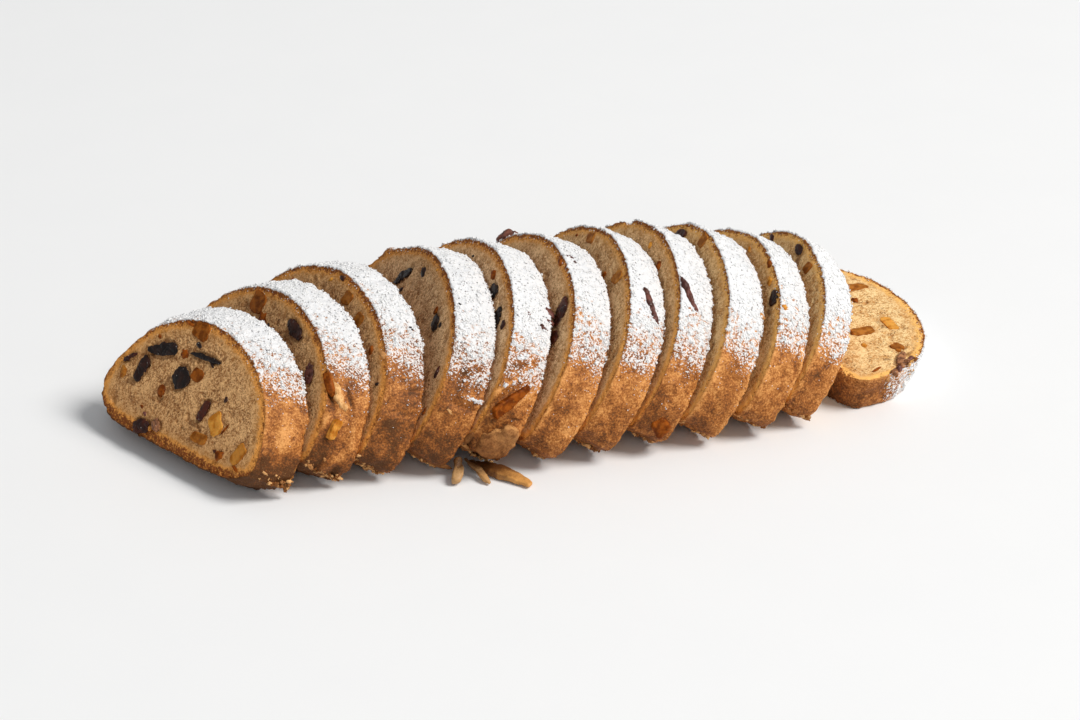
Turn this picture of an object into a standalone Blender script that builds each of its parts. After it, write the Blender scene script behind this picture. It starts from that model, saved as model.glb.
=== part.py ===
"""A stollen cut into twelve slices that lean on one another in a row, in metres, +Z up.

The row runs along +X with its open cut faces towards -X, and the front is -Y.
Every slice is one solid. Fruit as large as a berry that shows at a cut or on the crust
is a solid of its own, which sits in a pocket with a small gap all round.
"""

import math

import bmesh
import bpy
from mathutils import Matrix, Vector, noise

MM = 0.001
GAP = 0.35 * MM  # kept between pieces that touch
POCKET_LIFT = 0.1 * MM  # keeps a pocket's widest line out of the face that it is cut in

# Section of the loaf at full size: a dome on a flat base, fuller at the front.
BASE_HALF_WIDTH = 35.0 * MM
FRONT_HALF_WIDTH = 65.0 * MM
FRONT_BELLY_HEIGHT = 12.0 * MM
BACK_HALF_WIDTH = 59.0 * MM
BACK_BELLY_HEIGHT = 15.0 * MM
LOAF_HEIGHT = 64.0 * MM
FRONT_FULLNESS = 2.12  # 2 is an ellipse, more is squarer
BACK_FULLNESS = 1.85

# How every slice is made.
SETTLE = 0.8 * MM  # the lower edge of a leaning slice is pressed flat this deep
CRUST_BULGE = 0.5 * MM
LUMP_HEIGHT = 0.7 * MM
LUMP_WIDTH = 14.0 * MM
RIM_POINTS_LOW = 4
RIM_POINTS_HIGH = 11
RIM_POINTS_BASE = 4
STRIP_CUTS = 3
STRIP_END = 0.35  # a strip's width at its ends against its middle
STRIP_BOW = 0.15
LEAST_DEPTH = 5.0  # of fruit in a cut face, in mm
RAISIN_DENT = 0.2  # shares of the piece's own size
PEEL_BEVEL = 0.16
PEEL_SKEW = 0.12
PEEL_TAPER = 0.25
FLAP_DENT = 0.12
# Lobes round the edge of a torn flap: how many, how deep, where the first one is in degrees.
FLAP_LOBES = ((2, 0.05, 40), (3, 0.06, 75), (5, 0.035, 20))
LETTERS = "abcdefgh"

# One row for each slice, from the first cut: place along and across the row in mm, turn and
# lean in degrees, thickness in mm, width and height against the full section, and how much
# of its size it gains from its first face to its second, in percent. The last one has
# fallen flat, with its first face up, and the row leans on it.
SLICES = (
    (-139.5, -16.0, 30, 34.0, 16.5, 0.82, 0.90, 15.0),
    (-111.0, -2.5, 19, 34.0, 17.0, 0.93, 0.95, 12.0),
    (-87.5, 4.0, 15, 34.0, 15.5, 1.02, 1.00, 9.5),
    (-52.5, 8.0, 2, 35.0, 17.0, 1.045, 1.035, 7.5),
    (-30.5, 5.5, 1.5, 35.5, 17.0, 1.06, 1.06, 5.0),
    (-7.0, 2.5, 1, 36.0, 16.5, 1.07, 1.075, 4.5),
    (16.5, 2.0, -0.5, 36.0, 16.5, 1.07, 1.08, 2.5),
    (40.0, 3.0, -0.5, 34.0, 16.0, 1.06, 1.055, 1.5),
    (62.0, -1.0, -0.5, 34.0, 17.0, 1.01, 1.01, 1.5),
    (84.0, -3.0, 1, 34.0, 15.5, 0.96, 0.945, 0.5),
    (105.0, -3.5, -0.5, 35.5, 15.0, 0.895, 0.895, -1.0),
    (126.5, 3.0, 5, 90.0, 16.0, 0.87, 0.83, -9.5),
)

# Fruit set in a first cut face: slice, place across the face (front is plus) and up it in mm,
# turn of its long side from across in degrees, length and width in mm.
FACE_RAISINS = (
    (1, -20, 35.5, 22, 15, 8),
    (1, -27.5, 24.5, 76, 11.5, 6.5),
    (1, -5.5, 28.5, 70, 11, 9.5),
    (1, 3, 40, 5, 17, 3.5),
    (1, 13, 21, 80, 10, 4.5),
    (1, -8, 6.5, -30, 6.5, 5),
    (1, -15.5, 3.5, 10, 9, 7.5),
    (1, -36, 26.5, 40, 9, 3),
    (2, 14, 48, -17, 13.5, 6.5),
    (2, 34.5, 37.5, -60, 10, 5),
    (4, -21, 45.5, 58, 12, 6),
    (4, 25, 47, -40, 9, 5),
    (5, 14, 55, -25, 9, 6),
    (5, 29.5, 50, -45, 11, 5),
    (6, 31, 52.5, -60, 14, 7),
    (6, 38.5, 43, -60, 9, 6),
    (9, -25, 53, 35, 10, 6),
    (10, 32.5, 49.5, -50, 8, 6),
    (11, -3.5, 52.5, 0, 8, 5),
    (12, 48, 30.5, -32, 14, 6.5),
)
FACE_PEELS = (
    (1, -5, 49, 0, 9, 6.8),
    (1, 2.5, 32.5, 0, 6, 5.5),
    (1, 22, 18.5, -50, 9, 6.5),
    (1, 16.5, 10.5, 0, 8, 5),
    (1, 39.5, 12, 70, 9, 5.2),
    (2, -15, 48, 0, 9, 9),
    (3, 6, 54, 0, 6, 6),
    (3, 19.5, 50, -20, 6, 6),
    (7, -20.5, 59.5, 20, 6, 4.5),
    (7, 18, 60, 0, 6, 6),
    (9, -6, 60, 0, 5.5, 6),
    (11, 10, 51, 0, 5, 5),
    (12, 19.5, 26.5, 90, 10, 6.5),
    (12, -18.5, 40.5, 90, 11, 6),
    (12, 17, 40, 0, 11, 5),
    (12, 37, 34, 20, 6, 5),
)
FACE_STAND = 0.8  # how far fruit in a cut face stands out of it, in mm

# Fruit in the crust: slice, place along the slice's thickness and up it in mm, side of the
# loaf, turn from along in degrees, length, width and depth in mm, and how far it stands out.
CRUST_RAISINS = (
    (6, -3.5, 48, "back", 60, 9, 8.5, 7, 4.5),
    (7, 1.5, 61, "front", -70, 19, 3, 4, 0.9),
    (8, -4, 59.5, "front", -65, 17, 3.4, 4, 0.9),
)
CRUST_PEELS = (
    (2, -3.8, 24.5, "front", 75, 9, 5.2, 5.5, 1.0),
    (5, -1.2, 32, "front", 55, 16, 6.5, 6, 1.2),
    (8, 2, 14, "front", 60, 8, 6, 6, 1.4),
)
# A flap of crust torn loose at the foot of the fifth slice.
FLAPS = ((5, 0.5, 14, "front", 20, 17, 16.5, 7, 3.6),)

# Strips of peel that hang out between two slices onto the surface: both ends in mm, and the
# width and thickness in the middle.
STRIPS = (
    ((-27.0, -53.0, 2.2), (-8.0, -75.5, 1.5), 6.6, 2.7),
    ((-29.0, -56.5, 5.2), (-23.5, -68.5, 1.4), 3.4, 1.8),
    ((-32.7, -57.5, 6.8), (-36.0, -66.5, 1.8), 5.2, 2.9),
)


def clear_scene():
    for item in list(bpy.data.objects):
        bpy.data.objects.remove(item, do_unlink=True)


def make_material(name, colour, roughness):
    material = bpy.data.materials.new(name)
    material.use_nodes = True
    shader = material.node_tree.nodes["Principled BSDF"]
    shader.inputs["Base Color"].default_value = (*colour, 1.0)
    shader.inputs["Roughness"].default_value = roughness
    shader.inputs["Metallic"].default_value = 0.0
    return material


def arc_steps(count):
    return [step / count * math.pi / 2 for step in range(count + 1)]


def section():
    """Points (across, up) once round the full section, from the front of the base over the top."""
    points = []
    for angle in arc_steps(RIM_POINTS_LOW)[:-1]:
        reach = FRONT_HALF_WIDTH - BASE_HALF_WIDTH
        up = FRONT_BELLY_HEIGHT * (1 - math.cos(angle))
        points.append((BASE_HALF_WIDTH + reach * math.sin(angle), up))
    for angle in arc_steps(RIM_POINTS_HIGH)[:-1]:
        across = FRONT_HALF_WIDTH * math.cos(angle) ** (2 / FRONT_FULLNESS)
        rise = (LOAF_HEIGHT - FRONT_BELLY_HEIGHT) * math.sin(angle) ** (2 / FRONT_FULLNESS)
        points.append((across, FRONT_BELLY_HEIGHT + rise))
    for angle in arc_steps(RIM_POINTS_HIGH)[:0:-1]:
        across = -BACK_HALF_WIDTH * math.cos(angle) ** (2 / BACK_FULLNESS)
        rise = (LOAF_HEIGHT - BACK_BELLY_HEIGHT) * math.sin(angle) ** (2 / BACK_FULLNESS)
        points.append((across, BACK_BELLY_HEIGHT + rise))
    for angle in arc_steps(RIM_POINTS_LOW)[:0:-1]:
        reach = BACK_HALF_WIDTH - BASE_HALF_WIDTH
        up = BACK_BELLY_HEIGHT * (1 - math.cos(angle))
        points.append((-BASE_HALF_WIDTH - reach * math.sin(angle), up))
    for step in range(RIM_POINTS_BASE):
        points.append((BASE_HALF_WIDTH * (2 * step / RIM_POINTS_BASE - 1), 0.0))
    return points


def lumpy(point, seed):
    """A place on the crust pushed in or out a little, the same for a whole slice."""
    offset = Vector((seed * 7.3, 0.0, 0.0))
    return LUMP_HEIGHT * noise.noise(point / LUMP_WIDTH + offset)


def ring(bm, points, along, scale, bulge, seed):
    """One loop of the crust at a place along the slice's own axis."""
    verts = []
    for across, up in points:
        flat = Vector((along, -across * scale[0], up * scale[1]))
        middle = Vector((along, 0.0, LOAF_HEIGHT * scale[1] / 3))
        outward = (flat - middle).normalized()
        push = 0.0 if up == 0 else bulge + lumpy(flat, seed)
        verts.append(bm.verts.new(flat + outward * push))
    return verts


def skin(bm, rings):
    """Closes the rings into one body with a flat face at each end."""
    for first, second in zip(rings, rings[1:]):
        for here in range(len(first)):
            after = (here + 1) % len(first)
            bm.faces.new((first[here], first[after], second[after], second[here]))
    bm.faces.new(rings[0])
    bm.faces.new(reversed(rings[-1]))
    bmesh.ops.recalc_face_normals(bm, faces=bm.faces)


def press_flat(bm, to_world):
    """Cuts off what would be under the surface that the row lies on."""
    to_local = to_world.inverted()
    bmesh.ops.bisect_plane(
        bm,
        geom=bm.verts[:] + bm.edges[:] + bm.faces[:],
        dist=0.01 * MM,
        plane_co=to_local @ Vector((0, 0, 0)),
        plane_no=to_local.to_3x3() @ Vector((0, 0, -1)),
        clear_outer=True,
    )
    bmesh.ops.holes_fill(bm, edges=[edge for edge in bm.edges if edge.is_boundary])


def finish(bm, name, material, to_world):
    mesh = bpy.data.meshes.new(name)
    bm.to_mesh(mesh)
    bm.free()
    if material:
        mesh.materials.append(material)
    mesh.shade_smooth()
    mesh.set_sharp_from_angle(angle=math.radians(40))
    for polygon in mesh.polygons:
        polygon.use_smooth = polygon.loop_total <= 4  # cut faces and the flat foot stay flat
    piece = bpy.data.objects.new(name, mesh)
    bpy.context.scene.collection.objects.link(piece)
    piece.matrix_world = to_world
    return piece


def slice_place(along, across, turn, lean, thickness):
    """Where a slice's middle goes, so that its lower edge rests on the surface under the row."""
    pressed = SETTLE if lean < 90 else 0.0
    height = thickness * MM / 2 * math.sin(math.radians(lean)) - pressed
    place = Matrix.Translation((along * MM, across * MM, height))
    turned = Matrix.Rotation(math.radians(turn), 4, "Z")
    return place @ turned @ Matrix.Rotation(math.radians(lean), 4, "Y")


def make_slice(number, row, material):
    along, across, turn, lean, thickness, wide, high, growth = row
    to_world = slice_place(along, across, turn, lean, thickness)
    bm = bmesh.new()
    rings = []
    for station, bulge in ((-0.5, 0.0), (-0.2, 1.0), (0.2, 1.0), (0.5, 0.0)):
        grown = 1 + station * growth / 100
        scale = (wide * grown, high * grown)
        depth = station * thickness * MM
        rings.append(ring(bm, section(), depth, scale, bulge * CRUST_BULGE, number))
    skin(bm, rings)
    if lean < 90:
        press_flat(bm, to_world)
    return finish(bm, f"slice_{number:02d}", material, to_world)


def raisin_shape(bm, seed):
    """A wrinkled oval one unit across each way."""
    bmesh.ops.create_uvsphere(bm, u_segments=10, v_segments=6, radius=0.5)
    for vert in bm.verts:
        dent = noise.noise(vert.co * 3.1 + Vector((seed * 5.7, 0, 0)))
        vert.co *= 1 + RAISIN_DENT * dent


def peel_shape(bm, seed):
    """A cut block with soft edges, one unit across each way and a little out of square."""
    bmesh.ops.create_cube(bm, size=1.0)
    bmesh.ops.bevel(bm, geom=bm.edges[:], offset=PEEL_BEVEL, segments=1, profile=0.5, affect="EDGES")
    for vert in bm.verts:
        vert.co.x += PEEL_SKEW * vert.co.y * math.sin(seed * 2.3)
        vert.co.y *= 1 + PEEL_TAPER * vert.co.x * math.cos(seed * 1.7)


def flap_shape(bm, seed):
    """A rounded lump with an uneven edge, about one unit across each way."""
    bmesh.ops.create_uvsphere(bm, u_segments=18, v_segments=8, radius=0.5)
    for vert in bm.verts:
        dent = noise.noise(vert.co * 2.3 + Vector((seed * 5.7, 0, 0)))
        angle = math.atan2(vert.co.y, vert.co.x)
        wider = 1 + sum(
            deep * math.cos(count * (angle - math.radians(first)))
            for count, deep, first in FLAP_LOBES
        )
        vert.co *= 1 + FLAP_DENT * dent
        vert.co.x *= wider
        vert.co.y *= wider


def pockets_of(host):
    """The cutters of one slice, taken away together by one Boolean."""
    name = f"pockets_{host.name}"
    if name not in bpy.data.collections:
        cut = host.modifiers.new(name, "BOOLEAN")
        cut.operation = "DIFFERENCE"
        cut.solver = "EXACT"
        cut.operand_type = "COLLECTION"
        cut.collection = bpy.data.collections.new(name)
    return bpy.data.collections[name]


def set_in(host, shape, name, material, place, size, stand, seed):
    """Sets one piece in its host up to its middle, in a pocket with a small gap all round."""
    for cutting in (False, True):
        extra = 2 * GAP if cutting else 0.0
        bm = bmesh.new()
        shape(bm, seed)
        bmesh.ops.triangulate(bm, faces=bm.faces[:])  # so that piece and pocket fold alike
        bmesh.ops.scale(bm, vec=[length * MM + extra for length in size], verts=bm.verts)
        for vert in bm.verts:
            if cutting:
                vert.co.z += POCKET_LIFT
            elif vert.co.z > 0:
                vert.co.z *= stand / (size[2] / 2)
        title = f"pocket_{name}" if cutting else name
        piece = finish(bm, title, None if cutting else material, host.matrix_world @ place)
        if cutting:
            piece.hide_render = True
            piece.display_type = "WIRE"
            pockets_of(host).objects.link(piece)


def face_place(thickness, across, up, turn):
    """Long side in the first face at a turn from across, and +Z out of it."""
    centre = (-thickness * MM / 2, -across * MM, up * MM)
    turned = Matrix.Rotation(math.radians(-turn), 4, "X") @ Matrix.Rotation(math.radians(-90), 4, "Z")
    upright = turned @ Matrix.Rotation(math.radians(90), 4, "X")
    return Matrix.Translation(centre) @ upright


def crust_place(wide, high, along, up, side, turn):
    """Long side in the crust at a turn from along, and +Z out of it."""
    if side == "front":
        reach, belly, power, way = FRONT_HALF_WIDTH, FRONT_BELLY_HEIGHT, FRONT_FULLNESS, -1
    else:
        reach, belly, power, way = BACK_HALF_WIDTH, BACK_BELLY_HEIGHT, BACK_FULLNESS, 1
    climb = (up * MM / high - belly) / (LOAF_HEIGHT - belly)
    across = (1 - climb**power) ** (1 / power)
    slope_out = across ** (power - 1) / (reach * wide)
    slope_up = climb ** (power - 1) / ((LOAF_HEIGHT - belly) * high)
    outward = Vector((0, way * slope_out, slope_up)).normalized()
    centre = Vector((along * MM, way * across * reach * wide, up * MM)) + outward * CRUST_BULGE
    lift = Matrix.Rotation(math.atan2(-outward.y, outward.z), 4, "X")
    return Matrix.Translation(centre) @ lift @ Matrix.Rotation(math.radians(turn * -way), 4, "Z")


def add_face_fruit(slices, rows, shape, label, material, depth_share):
    for order, (number, across, up, turn, length, width) in enumerate(rows):
        size = (length, width, max(LEAST_DEPTH, width * depth_share))
        place = face_place(SLICES[number - 1][4], across, up, turn)
        before = sum(row[0] == number for row in rows[:order])
        name = f"{label}_{number:02d}{LETTERS[before]}"
        set_in(slices[number], shape, name, material, place, size, FACE_STAND, order)


def add_crust_fruit(slices, rows, shape, label, material):
    for order, (number, along, up, side, turn, length, width, depth, stand) in enumerate(rows):
        wide, high = SLICES[number - 1][5:7]
        place = crust_place(wide, high, along, up, side, turn)
        size = (length, width, depth)
        set_in(slices[number], shape, f"{label}_{number:02d}", material, place, size, stand, order)


def make_strip(number, row, material):
    """A tapered strip of peel between two points, thickest in the middle."""
    start, end, width, thickness = row
    start, end = Vector(start) * MM, Vector(end) * MM
    run = end - start
    turned = run.to_track_quat("X", "Z").to_matrix().to_4x4()
    bm = bmesh.new()
    bmesh.ops.create_cube(bm, size=1.0)
    bmesh.ops.scale(bm, vec=(run.length, width * MM, thickness * MM), verts=bm.verts)
    lengthways = [edge for edge in bm.edges if abs(edge.verts[0].co.x - edge.verts[1].co.x) > MM]
    bmesh.ops.subdivide_edges(bm, edges=lengthways, cuts=STRIP_CUTS, use_grid_fill=True)
    for vert in bm.verts:
        share = vert.co.x / run.length + 0.5
        taper = STRIP_END + (1 - STRIP_END) * math.sin(math.pi * share)
        vert.co.y = vert.co.y * taper + STRIP_BOW * width * MM * math.sin(math.pi * share)
        vert.co.z *= taper
    return finish(bm, f"peel_strip_{number}", material, Matrix.Translation((start + end) / 2) @ turned)


def centre_on_origin():
    """Moves everything so that the row stands on the origin, by the middle of its box."""
    pieces = [item for item in bpy.data.objects if not item.hide_render]
    places = [piece.matrix_world @ vert.co for piece in pieces for vert in piece.data.vertices]
    shift = Vector()
    for axis in (0, 1):
        values = [place[axis] for place in places]
        shift[axis] = -(min(values) + max(values)) / 2
    for item in bpy.data.objects:
        item.matrix_world = Matrix.Translation(shift) @ item.matrix_world


def main():
    clear_scene()
    crumb = make_material("crumb", (0.55, 0.36, 0.20), 0.85)
    raisin = make_material("raisin", (0.05, 0.02, 0.015), 0.45)
    peel = make_material("peel", (0.55, 0.22, 0.06), 0.4)
    slices = {}
    for number, row in enumerate(SLICES, start=1):
        slices[number] = make_slice(number, row, crumb)
    add_face_fruit(slices, FACE_RAISINS, raisin_shape, "raisin", raisin, 0.8)
    add_face_fruit(slices, FACE_PEELS, peel_shape, "peel", peel, 0.7)
    add_crust_fruit(slices, CRUST_RAISINS, raisin_shape, "crust_raisin", raisin)
    add_crust_fruit(slices, CRUST_PEELS, peel_shape, "crust_peel", peel)
    add_crust_fruit(slices, FLAPS, flap_shape, "torn_crust", crumb)
    for number, row in enumerate(STRIPS, start=1):
        make_strip(number, row, peel)
    centre_on_origin()


main()
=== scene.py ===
# A stollen in twelve slices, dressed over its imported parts: crumb, crust, icing sugar and fruit.
import math
import random
from types import SimpleNamespace

import bmesh
import bpy
import numpy as np
from mathutils import Matrix, Vector, noise
from mathutils.bvhtree import BVHTree


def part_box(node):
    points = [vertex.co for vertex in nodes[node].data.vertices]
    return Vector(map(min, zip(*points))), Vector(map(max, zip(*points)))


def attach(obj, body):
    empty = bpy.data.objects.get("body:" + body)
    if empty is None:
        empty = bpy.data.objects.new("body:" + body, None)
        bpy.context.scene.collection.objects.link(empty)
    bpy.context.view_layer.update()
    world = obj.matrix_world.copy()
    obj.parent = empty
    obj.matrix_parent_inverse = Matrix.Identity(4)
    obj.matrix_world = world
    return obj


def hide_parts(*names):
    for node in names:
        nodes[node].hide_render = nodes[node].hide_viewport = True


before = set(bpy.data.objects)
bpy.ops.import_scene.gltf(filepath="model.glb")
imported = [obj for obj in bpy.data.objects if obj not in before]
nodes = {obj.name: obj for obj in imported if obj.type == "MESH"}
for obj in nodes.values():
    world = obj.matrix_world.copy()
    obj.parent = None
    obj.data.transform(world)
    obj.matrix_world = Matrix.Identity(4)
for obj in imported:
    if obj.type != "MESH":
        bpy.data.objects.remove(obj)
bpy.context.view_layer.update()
mm = 0.001
print("frame loaded with", len(nodes), "nodes")


# Shader sums

class Wire:
    # one output of a material's nodes, which takes part in sums

    def __init__(self, tree, socket=None):
        self.tree = tree
        self.socket = socket

    def node(self, kind, settings=None, inputs=None, out=0):
        made = self.tree.nodes.new(kind)
        for name, value in (settings or {}).items():
            if name == "stops":
                fillRamp(made.color_ramp, value)
            else:
                setattr(made, name, value)
        for name, value in (inputs or {}).items():
            if isinstance(value, Wire):
                self.tree.links.new(value.socket, made.inputs[name])
            else:
                made.inputs[name].default_value = value
        return Wire(self.tree, made.outputs[out])

    def maths(self, operation, *values):
        return self.node("ShaderNodeMath", {"operation": operation}, dict(enumerate(values)))

    def __add__(self, other):
        return self.maths("ADD", self, other)

    def __sub__(self, other):
        return self.maths("SUBTRACT", self, other)

    def __rsub__(self, other):
        return self.maths("SUBTRACT", other, self)

    def __mul__(self, other):
        return self.maths("MULTIPLY", self, other)

    __radd__ = __add__
    __rmul__ = __mul__

    def most(self, other):
        return self.maths("MAXIMUM", self, other)

    def step(self, low, high):  # 0 up to low, 1 from high on, smooth between them
        settings = {"interpolation_type": "SMOOTHSTEP"}
        return self.node("ShaderNodeMapRange", settings, {"Value": self, 1: low, 2: high})

    def tint(self, first, second):  # first colour where this is 0, second where it is 1
        return self.node("ShaderNodeMix", {"data_type": "RGBA"}, {0: self, 6: first, 7: second}, 2)

def fillRamp(ramp, stops):
    while len(ramp.elements) > len(stops):
        ramp.elements.remove(ramp.elements[-1])
    while len(ramp.elements) < len(stops):
        ramp.elements.new(1.0)
    for element, (place, colour) in zip(ramp.elements, stops):
        element.position = place
        element.color = (*colour, 1.0)


def rgb(red, green, blue):
    return (red, green, blue, 1.0)


class Look:
    # a material with the few textures that all of them share, sized in millimetres

    def __init__(self, name):
        self.material = bpy.data.materials.new(name)
        self.material.use_nodes = True
        self.tree = self.material.node_tree
        self.shader = self.tree.nodes["Principled BSDF"]
        self.wire = Wire(self.tree)
        self.place = self.wire.node("ShaderNodeTexCoord", out=3)

    def shared(self, name):  # an attribute of the piece's points
        return self.wire.node("ShaderNodeAttribute", {"attribute_name": name}, out=2)

    def clouds(self, size, detail=2.0, rough=0.5, twist=0.0, place=None):
        inputs = {"Vector": place or self.place, "Scale": 1 / (size * mm), "Detail": detail,
                  "Roughness": rough, "Distortion": twist}
        return self.wire.node("ShaderNodeTexNoise", {}, inputs)

    def cells(self, size, place=None):
        inputs = {"Vector": place or self.place, "Scale": 1 / (size * mm)}
        return self.wire.node("ShaderNodeTexVoronoi", {"feature": "F1"}, inputs)

    def moved(self, x, y, z):  # the place, shifted in millimetres, for a second unlike pattern
        inputs = {0: self.place, 1: (x * mm, y * mm, z * mm)}
        return self.wire.node("ShaderNodeVectorMath", {"operation": "ADD"}, inputs)

    def finish(self, colour, roughness, height=None, depth=0.3, shine=0.5, **constants):
        feeds = {"Base Color": colour, "Roughness": roughness, "Specular IOR Level": shine}
        if height is not None:
            inputs = {"Height": height, "Distance": depth * mm}
            feeds["Normal"] = self.wire.node("ShaderNodeBump", {}, inputs)
        for name, value in {**feeds, **constants}.items():
            if isinstance(value, Wire):
                self.tree.links.new(value.socket, self.shader.inputs[name])
            else:
                self.shader.inputs[name].default_value = value
        return self.material


# Light, floor and camera

studio = {
    "camera": (-0.3053, -1.1260, 0.6500),
    "cameraTurn": (61.5, 0.0, -15.5),
    "lens": 106.667,
    "sensorWidth": 36.0,
    "sky": (0.94, 0.97, 1.0),
    "skyStrength": 0.35,
    "floorWidth": 12.0,
    "floorColours": ((0.84, 0.842, 0.845), (0.86, 0.86, 0.86)),
    "lights": (
        # name, place, width, watts, colour
        ("windowRight", (3.3, -1.9, 4.4), 2.8, 335.0, (1.0, 0.985, 0.96)),
        ("cardFront", (-0.8, -4.0, 2.6), 2.6, 22.0, (1.0, 1.0, 1.0)),
    ),
}


def buildStudio():
    scene = bpy.context.scene
    scene.view_settings.view_transform = "Standard"
    camera = addObject("camera", bpy.data.cameras.new("camera"))
    camera.location = studio["camera"]
    camera.rotation_euler = [math.radians(turn) for turn in studio["cameraTurn"]]
    camera.data.lens = studio["lens"]
    camera.data.sensor_width = studio["sensorWidth"]
    scene.camera = camera

    world = bpy.data.worlds.new("studio")
    world.use_nodes = True
    background = world.node_tree.nodes["Background"]
    background.inputs["Color"].default_value = rgb(*studio["sky"])
    background.inputs["Strength"].default_value = studio["skyStrength"]
    scene.world = world

    for name, place, width, watts, colour in studio["lights"]:
        lamp = bpy.data.lights.new(name, "AREA")
        lamp.shape = "DISK"
        lamp.size = width
        lamp.energy = watts
        lamp.color = colour
        light = addObject(name, lamp)
        light.location = place
        light.rotation_euler = (-Vector(place)).to_track_quat("-Z", "Y").to_euler()

    bm = bmesh.new()
    bmesh.ops.create_grid(bm, x_segments=8, y_segments=8, size=studio["floorWidth"] / 2)
    floor = newPiece("floor", bm)
    look = Look("paleFloor")
    paper = look.clouds(40.0, 3.0).tint(*[rgb(*colour) for colour in studio["floorColours"]])
    floor.data.materials.append(look.finish(paper, 0.7))


# Meshes

def addObject(name, data):
    made = bpy.data.objects.new(name, data)
    bpy.context.scene.collection.objects.link(made)
    return made


def newPiece(name, bm):
    mesh = bpy.data.meshes.new(name)
    bm.to_mesh(mesh)
    bm.free()
    return addObject(name, mesh)


def mergedCopy(node):
    bm = bmesh.new()
    bm.from_mesh(node.data)
    bmesh.ops.remove_doubles(bm, verts=bm.verts, dist=0.002 * mm)
    return bm


def remesh(piece, voxel):
    # an even skin of small squares, ready for modelling
    modifier = piece.modifiers.new("even skin", "REMESH")
    modifier.mode = "VOXEL"
    modifier.voxel_size = voxel
    graph = bpy.context.evaluated_depsgraph_get()
    even = bpy.data.meshes.new_from_object(piece.evaluated_get(graph))
    piece.modifiers.clear()
    old = piece.data
    even.name = piece.name
    piece.data = even
    bpy.data.meshes.remove(old)


def framed(spot, first, second, third):
    # a frame at that spot with its three axes along these
    return Matrix.Translation(spot) @ Matrix((first, second, third)).transposed().to_4x4()


def readPoints(mesh):
    points = np.empty(len(mesh.vertices) * 3)
    normals = np.empty(len(mesh.vertices) * 3)
    mesh.vertices.foreach_get("co", points)
    mesh.vertices.foreach_get("normal", normals)
    return points.reshape(-1, 3), normals.reshape(-1, 3)


def writePoints(mesh, points):
    mesh.vertices.foreach_set("co", points.ravel())
    mesh.update()


def settle(mesh, place):
    # from its own frame to its place, with nothing below the floor
    mesh.transform(place)
    points, _ = readPoints(mesh)
    points[:, 2] = np.maximum(points[:, 2], 0.0)
    writePoints(mesh, points)
    mesh.shade_smooth()


def share(mesh, name, values):
    # one number for each point, which a material can read
    attribute = mesh.attributes.new(name, "FLOAT", "POINT")
    attribute.data.foreach_set("value", np.ascontiguousarray(values, dtype=np.float32))


def ease(values, low, high):
    # 0 at low, 1 at high and past it, smooth between them; low may be the larger of the two
    part = np.clip((values - low) / (high - low), 0.0, 1.0)
    return part * part * (3 - 2 * part)


def waves(points, size, seed=0.0):
    # smooth noise from -1 to 1 with lumps of that size
    shift = Vector((seed * 7.1, seed * 3.7, seed * 5.3))
    return np.array([noise.noise(Vector(point) + shift) for point in points / size])


def layered(points, seed, layers):
    # waves laid over each other, each with its height, width and own seed
    return sum(height * waves(points, width, seed + own) for height, width, own in layers)


def bubbles(points, size, seed, least, most):
    # round hollows: 1 in the middle of one, 0 outside, each of its own width
    shift = Vector((seed * 7.1, seed * 3.7, seed * 5.3))
    depth = np.zeros(len(points))
    for index, point in enumerate(points / size):
        distances, centres = noise.voronoi(Vector(point) + shift)
        width = least + (most - least) * noise.cell(centres[0] * 9.7) ** 3
        if distances[0] < width:
            depth[index] = 1 - (distances[0] / width) ** 2
    return depth


# Slices

bread = {
    "count": 12,
    "openSlices": (1, 12),  # their first faces are open to view
    "lyingSlice": 12,
    "fineVoxel": 0.50,  # mm, on the open slices
    "voxel": 0.655,
    "quickVoxel": 1.0,
    # lumps as height and width in mm and a seed of their own
    "lumps": ((0.60, 6.5, 0), (0.26, 2.6, 0)),
    "cutLumps": ((0.5, 3.6, 50), (0.25, 1.7, 55)),  # beside a cut
    "folds": 0.5,  # mm, round the loaf
    "footTop": 14.0,  # mm up to which the crust is rougher
    # pores of the crumb: width and depth in mm, and the least and most share of that width
    "poreWidth": 4.4,
    "poreDepth": 1.3,
    "poreShares": (0.08, 0.60),
    "lyingPoreShares": (0.10, 0.70),
    "finePoreWidth": 1.9,
    "finePoreDepth": 0.35,
    "finePoreShares": (0.10, 0.55),
    "tearDepth": 0.9,  # mm, where the knife tore the crumb along its edges
    "rollMiddle": 0.42,  # middle of the dough's rings, as a share of the height
    "sugarThickness": 0.7,
    # height of the sugar's ragged lower edge at the front, as a share of each slice's height
    "sugarEdge": (0.64, 0.65, 0.65, 0.59, 0.57, 0.62, 0.60, 0.56, 0.57, 0.61, 0.57, 0.38),
    "sugarEdgeBack": 0.58,
    "sugarFade": 0.36,
    "sugarPatches": ((0.65, 2.6, 3), (1.0, 1.2, 4)),
    "browning": (0.62, 0.82, 1.00, 0.84, 0.60, 0.64, 0.56, 0.70, 0.36, 0.38, 0.50, 0.26),
    # how much darker each slice's crust is towards its foot: partly browning, partly painted shade
    "footBrowningAndShade": (0.66, 0.32, 0.22, 0.18, 0.16, -0.04, 0.05, 0.05, -0.08, 0.10, 0.03, 0.14),
    # painted shade: how much darker the far edge of the crust is than its near edge, which on the
    # lying slice is its underside
    "undersideShade": (0, 0, 0, 0, 0, 0, 0, 0, 0, 0, 0, 0.26),
    # painted light: how much paler and duller the crumb is made on the shaded faces between the
    # standing slices, and how golden it is, which also lightens the shaded faces further back
    "chalk": (0.0, 0.1, 0.15, 0.55, 0.85, 0.70, 0.50, 0.50, 0.20, 0.15, 0.10, 0.0),
    "golden": (0.1, 0.12, 0.08, 0.10, 0.10, 0.18, 0.35, 0.40, 0.75, 0.75, 0.85, 1.0),
}
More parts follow.
